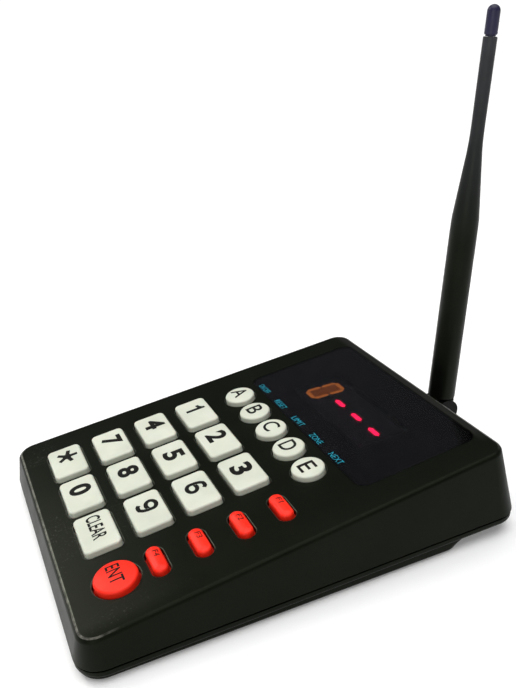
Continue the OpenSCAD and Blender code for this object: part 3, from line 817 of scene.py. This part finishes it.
def window():
    form = Form(CASE)
    w, d, r = WINDOW["w"], WINDOW["d"], WINDOW["r"]
    top = WINDOW["top"]
    edge = [(0.06, top), (0, top - 0.06), (0, WINDOW_LOW + 0.1), (0.1, WINDOW_LOW)]
    form.stack([on_face(rounded(w - 2 * i, d - 2 * i, r - i, 12), n, 0, WINDOW["v"]) for i, n in edge])
    form.paint(0, len(form.faces) - 2)  # the sides, but not the pane's two faces
    form.make("display_window_pane", M["window"], "case", "window_acrylic", ["display_window"], M["mask"])


def window_mask():
    """Black print on the window's underside, with a clear field over the digits."""
    form = Form(CASE)
    outline = rounded(WINDOW["w"] - 0.3, WINDOW["d"] - 0.3, WINDOW["r"] - 0.15, 10)
    clear = rounded(54.0, 21.5, 1.0, 6)
    sheets = []
    for n in (WINDOW_LOW - 0.008, WINDOW_LOW - 0.028):
        rim = form.loop(on_face(outline, n, 0, WINDOW["v"]))
        field = form.loop(on_face(clear, n, DISPLAY["x"], DISPLAY["v"]))
        form.fill(rim, [field], flat_on_face)
        sheets.append((rim, field))
    for a, b in zip(*sheets):
        form.bridge(a, b)
    form.make("window_mask", M["mask"], "case")


# ---- Keys ----

FUNCTION_SLIM = 0.1  # the function keys are moulded this much inside their outline


def cap_height(kind, x, y):
    """Height of the cap's top at x, y from the key's centre."""
    shape = CAPS[kind]
    if kind == "function":
        x = max(0.0, abs(x) - PILL_W / 2 + shape["half"])
    away = math.hypot(x, y) / (shape["half"] - shape["edge"])
    return shape["top"] - shape["bulge"] * min(away, 1.0) ** 2


def cap(name):
    kind = key_kind(name)
    x, v = KEY_AT[name]
    shape = CAPS[kind]
    top, edge, wall, bulge = shape["top"], shape["edge"], shape["wall"], shape["bulge"]
    slim = FUNCTION_SLIM if kind == "function" else 0.0
    half = shape["half"] - slim
    flange = key_gap(kind) + FLANGE_OUT
    flange_low = FLANGE_TOP - FLANGE_T

    # (how far outside the outline, height) from the middle of the top, round the edge, to the inside
    levels = []
    if bulge:
        levels = [(-half + (half - edge) * k / 8, top - bulge * (k / 8) ** 2) for k in range(1, 8)]
    levels += [(-i, top - bulge - down) for i, down in quarter(edge, 7)]
    levels += [(0, FLANGE_TOP), (flange, FLANGE_TOP), (flange, flange_low), (-wall, flange_low), (-wall, 0)]
    form = Form(CASE)
    form.stack([on_face(key_outline(kind, grow - slim), n, x, v) for grow, n in levels])
    plunger = [(0, -3.3), (1.4, -3.3), (1.4, 0), (0, 0)]
    form.lathe(plunger, 28, LOCAL_FACE @ moved(x, v, 0))
    red = kind in ("function", "enter")
    material, slot = (M["red"], "key_red") if red else (M["white"], "key_white")
    form.make(name + "_body", material, name + "_cap", slot, [name])


ONE = [(0.55, 0), (1, 0), (1, 1), (0.68, 1), (0.55, 0.88), (0.32, 0.79), (0, 0.75), (0, 0.59), (0.55, 0.64)]


def star(arms=5, inner=0.19):
    """A five-armed asterisk that fits a unit square."""
    points = []
    for k in range(arms):
        turn = 2 * math.pi * k / arms
        for along, across in ((inner, 0.10), (0.5, 0.095), (0.5, -0.095), (inner, -0.10)):
            x = 0.5 - along * math.sin(turn) + across * math.cos(turn)
            y = 0.5 + along * math.cos(turn) + across * math.sin(turn)
            points.append((x, y))
    return points


def nine(w=6.2, h=8.1, thick=1.55):
    """A 9 drawn as one stroke, w wide and h high, scaled to a unit square."""
    bowl_w, bowl_h = w / 2 - thick / 2, h * 0.32 - thick / 2
    bowl_y = h * 0.68
    line = [(-bowl_w * 0.80, thick * 0.95), (-bowl_w * 0.45, thick * 0.55), (0, thick * 0.5),
            (bowl_w * 0.45, h * 0.12), (bowl_w * 0.80, h * 0.26), (bowl_w * 0.97, h * 0.44)]
    turns = [math.radians(a) for a in range(0, 289, 12)]
    line += [(bowl_w * math.cos(a), bowl_y + bowl_h * math.sin(a)) for a in turns]
    right, left = [], []
    for k, (x, y) in enumerate(line):
        x0, y0 = line[max(k - 1, 0)]
        x1, y1 = line[min(k + 1, len(line) - 1)]
        length = math.hypot(x1 - x0, y1 - y0)
        dx = (y1 - y0) / length * thick / 2
        dy = (x0 - x1) / length * thick / 2
        right.append((x + dx, y + dy))
        left.append((x - dx, y - dy))
    close = [(bowl_w * 0.57, h * 0.40), (bowl_w * 0.64, h * 0.58)]
    return [(x / w + 0.5, y / h) for x, y in right + close + left[::-1]]


NINE = nine()
DRAWN = {"1": ONE, "*": star(), "9": NINE, "6": [(1 - x, 1 - y) for x, y in NINE]}

# What each key says: text, place against the key's centre, width, height, weight of the strokes
LEGENDS = {
    "key_1": ("1", -2.9, 0.5, 3.5, 8.0, 0.0),
    "key_2": ("2", -2.2, 0.5, 6.3, 8.0, 0.04),
    "key_3": ("3", -1.2, 0.1, 6.3, 8.2, 0.04),
    "key_4": ("4", -2.5, 0.6, 7.0, 8.1, 0.04),
    "key_5": ("5", -1.0, 0.3, 6.2, 8.1, 0.04),
    "key_6": ("6", -1.2, 0.5, 6.2, 8.1, 0.0),
    "key_7": ("7", -2.1, 0.5, 6.5, 8.0, 0.04),
    "key_8": ("8", -1.8, 0.5, 6.4, 8.1, 0.04),
    "key_9": ("9", -1.7, 0.5, 6.2, 8.1, 0.0),
    "key_star": ("*", -2.7, 0.4, 8.4, 8.2, 0.0),
    "key_0": ("0", -2.0, 0.2, 6.5, 8.2, 0.04),
    "key_clear": ("CLEAR", -1.6, 0.3, 13.4, 5.1, 0.02),
    "key_enter": ("ENT", -0.6, 0.1, 8.8, 4.6, 0.012),
    "key_a": ("A", -1.2, 0.6, 6.0, 6.3, 0.012),
    "key_b": ("B", -0.4, 0.3, 4.9, 6.5, 0.012),
    "key_c": ("C", -0.8, 0.5, 5.9, 6.5, 0.012),
    "key_d": ("D", -0.3, 0.1, 5.7, 6.5, 0.012),
    "key_e": ("E", -0.1, -0.2, 4.8, 6.5, 0.012),
    "key_f1": ("F1", -1.9, 0.6, 2.9, 1.9, 0.0),
    "key_f2": ("F2", -1.9, 0.6, 3.1, 1.9, 0.0),
    "key_f3": ("F3", -1.9, 0.6, 3.1, 1.9, 0.0),
    "key_f4": ("F4", -1.9, 0.6, 3.1, 1.9, 0.0),
}

# The window's words and their places across it, then what all of them share
WINDOW_WORDS = [("ON/OFF", -35.7), ("RESET", -20.0), ("LIMIT", -4.2), ("ZONE", 10.8), ("NEXT", 26.0)]
WORD_V = 24.5
WORD_W = 7.8
WORD_H = 2.3
WORD_WEIGHT = -0.026
INK_LIFT = 0.004  # gap under the ink
INK_T = 0.02


def drawn_legend(name, shape, x, v, n, w, h, material, body):
    """A printed character from its outline in a unit square, w wide and h high, at x, v on the face."""
    form = Form(CASE)
    outline = [((px - 0.5) * w, (py - 0.5) * h) for px, py in shape]
    sheets = [form.loop(on_face(outline, n + up, x, v)) for up in (0.02, 0.002)]
    for sheet in sheets:
        form.fill(sheet, [], flat_on_face)
    form.bridge(*sheets)
    form.make(name, material, body)


def text_mesh(name, text, weight):
    """The font's characters as a mesh, with strokes made bolder or, below zero, thinner by weight."""
    curve = bpy.data.curves.new(name, "FONT")
    curve.body = text
    curve.size = 1.0
    curve.resolution_u = 5
    curve.bevel_depth = max(weight, 0.0)
    curve.bevel_resolution = 1
    curve.offset = min(weight, 0.0)
    source = bpy.data.objects.new(name + ".source", curve)
    scene.collection.objects.link(source)
    bpy.context.view_layer.update()
    mesh = bpy.data.meshes.new_from_object(source.evaluated_get(bpy.context.evaluated_depsgraph_get()))
    bpy.data.objects.remove(source)
    bpy.data.curves.remove(curve)
    return mesh


def legend(name, text, x, v, height, w, h, weight, material, body, bulges=False):
    """Flat printed characters, w wide and h high, centred at x, v on the face.

    height gives the surface's height at a place, and bulges says that it isn't level.
    """
    mesh = text_mesh(name, text, weight)
    if bulges:
        split(mesh, 0.11)
    spots = [p.co for p in mesh.vertices]
    low = [min(s[k] for s in spots) for k in range(3)]
    high = [max(s[k] for s in spots) for k in range(3)]
    thick = max(high[2] - low[2], 1e-6)
    for p in mesh.vertices:
        px = (p.co.x - (low[0] + high[0]) / 2) * w / (high[0] - low[0]) + x
        py = (p.co.y - (low[1] + high[1]) / 2) * h / (high[1] - low[1]) + v
        pn = height(px, py) + INK_LIFT + (p.co.z - low[2]) / thick * INK_T
        p.co = FACE @ Vector((px, py, pn))
    mesh.name = name
    mesh.materials.clear()
    mesh.materials.append(material)
    piece = bpy.data.objects.new(name, mesh)
    scene.collection.objects.link(piece)
    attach(piece, body)


def legends():
    for name, (text, dx, dv, w, h, weight) in LEGENDS.items():
        x, v = KEY_AT[name]
        kind = key_kind(name)
        shape = CAPS[kind]
        label, body = "legend_" + name, name + "_cap"
        if text in DRAWN:
            drawn_legend(label, DRAWN[text], x + dx, v + dv, shape["top"], w, h, M["black_ink"], body)
        else:
            legend(label, text, x + dx, v + dv, lambda px, py: cap_height(kind, px - x, py - v),
                   w, h, weight, M["black_ink"], body, shape["bulge"] > 0)
    for text, x in WINDOW_WORDS:
        label = "window_word_" + text.lower().replace("/", "_")
        legend(label, text, x, WORD_V, lambda px, py: WINDOW["top"], WORD_W, WORD_H, WORD_WEIGHT,
               M["cyan_ink"], "case")


# ---- Display ----

SEGMENT_T = 1.7
DIGIT_W = 7.0  # between the middles of a digit's upright segments
DIGIT_H = 12.8  # between the middles of its top and bottom segments
DIGIT_LEAN = 9
OUTER_SEGMENTS = 6

# How far the top and the underside of each sheet lie under the display's face
SEGMENT_SHEET = (0.005, 0.055)
HAZE_SHEET = (0.002, 0.058)
HALO_SHEET = (0.03, 0.058)


def bar(length, width):
    """One segment of a digit: a bar along x with pointed ends."""
    h, w = length / 2, width / 2
    return [(h, 0), (h - w, w), (w - h, w), (-h, 0), (w - h, -w), (h - w, -w)]


def digit_bars():
    """(shape, x, v) of the seven segments, top first, then clockwise, middle last."""
    half_w, half_h = DIGIT_W / 2, DIGIT_H / 2
    level = bar(DIGIT_W - 0.3, SEGMENT_T)
    upright = [(-y, x) for x, y in bar(half_h - 0.3, SEGMENT_T)]
    return [
        (level, 0, half_h), (upright, half_w, half_h / 2), (upright, half_w, -half_h / 2),
        (level, 0, -half_h), (upright, -half_w, -half_h / 2), (upright, -half_w, half_h / 2),
        (level, 0, 0),
    ]


def segment_state(digit, segment):
    """The first digit is lit dimly all round, and the others only in the middle."""
    outer = segment < OUTER_SEGMENTS
    if digit == 0:
        return "orange" if outer else "unlit"
    return "unlit" if outer else "pink"


def display():
    x0, v0, face = DISPLAY["x"], DISPLAY["v"], DISPLAY["face"]
    w, d = DISPLAY["w"], DISPLAY["d"]
    body_top, body_low = face - 0.06, face - DISPLAY["t"]
    middles = [x0 + (digit - 1.5) * DIGIT_PITCH for digit in range(4)]
    lean = tan(DIGIT_LEAN)
    form = Form(CASE)
    form.stack([on_face(rounded(w - 2 * i, d - 2 * i, 0.4, 3), n, x0, v0)
                for i, n in [(0.25, body_top), (0, body_top - 0.25), (0, body_low)]])
    form.make("display_body", M["bezel"], "case", "black_resin", ["display_module"])
    forms = {key: Form(CASE) for key in ("unlit", "pink", "orange")}
    for digit, cx in enumerate(middles):
        for segment, (shape, bx, bv) in enumerate(digit_bars()):
            outline = [(px + bx + (py + bv) * lean + cx, py + bv + v0) for px, py in shape]
            state = segment_state(digit, segment)
            forms[state].stack([on_face(outline, face - down) for down in SEGMENT_SHEET])
    forms["unlit"].make("segments_unlit", M["unlit"], "case", "black_resin")
    forms["pink"].make("segments_lit", M["pink"], "case")
    forms["orange"].make("segments_dim", M["orange"], "case")

    # The dim digit's inside glows, and each lit dash has a halo
    haze = Form(CASE)
    outline = [(px + py * lean + middles[0], py + v0) for px, py in rounded(5.6, 11.4, 0.8, 4)]
    haze.stack([on_face(outline, face - down) for down in HAZE_SHEET])
    haze.make("digit_haze", M["brown"], "case")
    halo = Form(CASE)
    for cx in middles[1:]:
        outline = rounded(8.0, 2.9, 1.4, 5, cx, v0)
        halo.stack([on_face(outline, face - down) for down in HALO_SHEET])
    halo.make("digit_halos", M["halo"], "case")


# ---- Antenna ----

KNURL_STEPS = 144
NUT_BORE_R = 2.56
NUT_START, NUT_END = 82.6, 87.6


def whip_sleeve():
    form = Form(WHIP)
    outside = [(0, 5.9), (5.0, 5.9), (5.45, 6.05), (5.65, 6.5), (5.62, 14), (5.56, 40), (5.44, 76),
               (5.38, 81), (5.30, 84), (5.02, 87), (2.95, 109), (2.68, 113), (2.60, 116), (2.57, 121),
               (2.6, 150.1), (2.46, 150.5)]
    core_hole = [(1.0, 150.5), (1.0, 8), (0, 8)]
    form.lathe(outside + core_hole, 72)
    barrel = [(1.25, -2.9), (4.7, -2.9), (4.9, -2.7), (4.9, 2.7), (4.7, 2.9), (1.25, 2.9)]
    form.lathe(barrel, 56, turned(90, "Y"))
    form.stack([at_height(rounded(5.8, 9.8, 0.25, 2), z) for z in (2.2, 6.9)])
    form.make("whip_sleeve_body", M["whip"], "whip", "whip_rubber", ["whip_sleeve"])


def whip_tip():
    form = Form(WHIP)
    r, end = 2.39, 161.4
    turns = [math.radians(a) for a in range(0, 90, 10)]
    dome = [(r * math.cos(a), end - r + r * math.sin(a)) for a in turns]
    foot = [(0, 150.2), (0.9, 150.2), (0.9, 150.55), (1.9, 150.55), (1.9, 151.1), (2.25, 151.2), (r, 151.45)]
    form.lathe(foot + dome + [(0, end)], 56)
    form.make("whip_tip_body", M["tip"], "whip", "whip_tip_plastic", ["whip_tip"])


def coupling_nut():
    """The knurled nut that holds the antenna to its socket."""
    form = Form(CASE @ LOCAL_ANTENNA)

    def knurl(high, low, z):
        sizes = [high if i % 4 in (0, 1) else low for i in range(KNURL_STEPS)]
        return [(x * size, y * size, z) for size, (x, y) in zip(sizes, circle(1.0, KNURL_STEPS))]

    bore = circle(NUT_BORE_R, KNURL_STEPS)
    section = [(4.3, 4.3, NUT_START), (4.6, 4.38, NUT_START + 0.3), (4.6, 4.38, NUT_START + 3.6),
               (4.3, 4.3, NUT_START + 3.9), (4.3, 4.3, NUT_START + 4.4), (4.5, 4.5, NUT_START + 4.55),
               (4.5, 4.5, NUT_END - 0.1), (4.4, 4.4, NUT_END)]
    loops = [at_height(bore, NUT_START)] + [knurl(*level) for level in section] + [at_height(bore, NUT_END)]
    rings = form.stack(loops, closed=False)
    form.bridge(rings[-1], rings[0])
    form.make("coupling_nut_body", M["brass"], "case", "gilt_brass", ["coupling_nut"])


# ---- CAD nodes that keep their shape, by material ----

KEPT = {
    "board": ["main_board", "display_board", "io_board", "radio_module"],
    "resin": ["main_chip", "board_header", "buzzer", "regulator"],
    "switch": ["power_socket", "power_switch", "switch_slider"],
    "steel": ["elbow_pin", "case_screws", "board_screws"],
    "brass": ["antenna_socket", "panel_nut"],
    "silicone": ["dome_sheet"],
    "ribbon": ["board_ribbon"],
    "tinned": ["radio_shield"],
    "capacitor": ["capacitors"],
    "elbow": ["elbow_base"],
    "copper": ["whip_core"],
}


def dress():
    for finish, names in KEPT.items():
        for name in names:
            node = NODES[name]
            if not node.material_slots:
                node.data.materials.append(M[finish])
            for place in node.material_slots:
                place.link = "OBJECT"
                place.material = M[finish]


# ---- Studio ----

FLOOR_HALF = 3

# How bright the studio is by height: a pale band at the floor's end, dark walls, and a bright ceiling
SKY_STRENGTH = 3.0
SKY = [(0.0, 0.36), (0.05, 0.33), (0.12, 0.026), (0.74, 0.026), (0.88, 0.93), (1.0, 0.98)]
COOL_BELOW = 0.1  # the dark part of it is slightly blue


def floor():
    mesh = bpy.data.meshes.new("floor")
    mesh.from_pydata([(FLOOR_HALF * x, FLOOR_HALF * y, 0) for x, y in ((-1, -1), (1, -1), (1, 1), (-1, 1))],
                     [], [(0, 1, 2, 3)])
    t = Tree("floor_paper")
    shade = t.blotch(3, 2, (0.90, 0.90, 0.90), (0.92, 0.92, 0.92))
    mesh.materials.append(t.finish(Base_Color=shade, Roughness=0.9, Specular_IOR_Level=0.1,
                                   Emission_Color=(1.0, 1.0, 1.0), Emission_Strength=0.12))
    plane = bpy.data.objects.new("floor", mesh)
    scene.collection.objects.link(plane)


def lamp(name, place, aim, size, watts, colour):
    light = bpy.data.lights.new(name, "AREA")
    light.shape = "RECTANGLE"
    light.size, light.size_y = size
    light.energy = watts
    light.color = colour
    holder = bpy.data.objects.new(name, light)
    holder.location = place
    holder.rotation_euler = (Vector(aim) - Vector(place)).to_track_quat("-Z", "Y").to_euler()
    scene.collection.objects.link(holder)


def sky():
    world = bpy.data.worlds.new("studio")
    world.use_nodes = True
    nodes, links = world.node_tree.nodes, world.node_tree.links
    way = nodes.new("ShaderNodeTexCoord")
    part = nodes.new("ShaderNodeSeparateXYZ")
    ramp = nodes.new("ShaderNodeValToRGB")
    links.new(way.outputs["Generated"], part.inputs[0])
    links.new(part.outputs["Z"], ramp.inputs["Fac"])
    links.new(ramp.outputs["Color"], nodes["Background"].inputs["Color"])
    nodes["Background"].inputs["Strength"].default_value = SKY_STRENGTH
    band = ramp.color_ramp
    while len(band.elements) < len(SKY):
        band.elements.new(0.5)
    for element, (height, light) in zip(band.elements, SKY):
        element.position = height
        green, blue = (1.02, 1.12) if light < COOL_BELOW else (1, 1)
        element.color = (light, light * green, light * blue, 1)
    scene.world = world


def camera():
    """The camera that fits the photo."""
    view = bpy.data.cameras.new("camera")
    view.lens = 40.34
    view.sensor_width = 36
    view.clip_start = 0.01
    holder = bpy.data.objects.new("camera", view)
    holder.location = (0.233551, -0.090841, 0.181815)
    holder.rotation_euler = Euler([math.radians(a) for a in (65.6202, 3.1161, 65.8414)])
    scene.collection.objects.link(holder)
    scene.camera = holder


upper_shell()
lower_shell()
feet()
window()
window_mask()
for key_name in KEY_NAMES:
    cap(key_name)
legends()
display()
whip_sleeve()
whip_tip()
coupling_nut()
dress()
floor()
sky()
lamp("left_light", (-0.80, -0.50, 0.72), (0, -0.05, 0.01), (0.35, 0.25), 3.5, (1.0, 0.99, 0.93))
lamp("right_fill", (0.62, -0.50, 0.34), (0, -0.02, 0.02), (0.40, 0.30), 1.5, (1.0, 1.0, 0.97))
camera()
scene.view_settings.view_transform = "Standard"
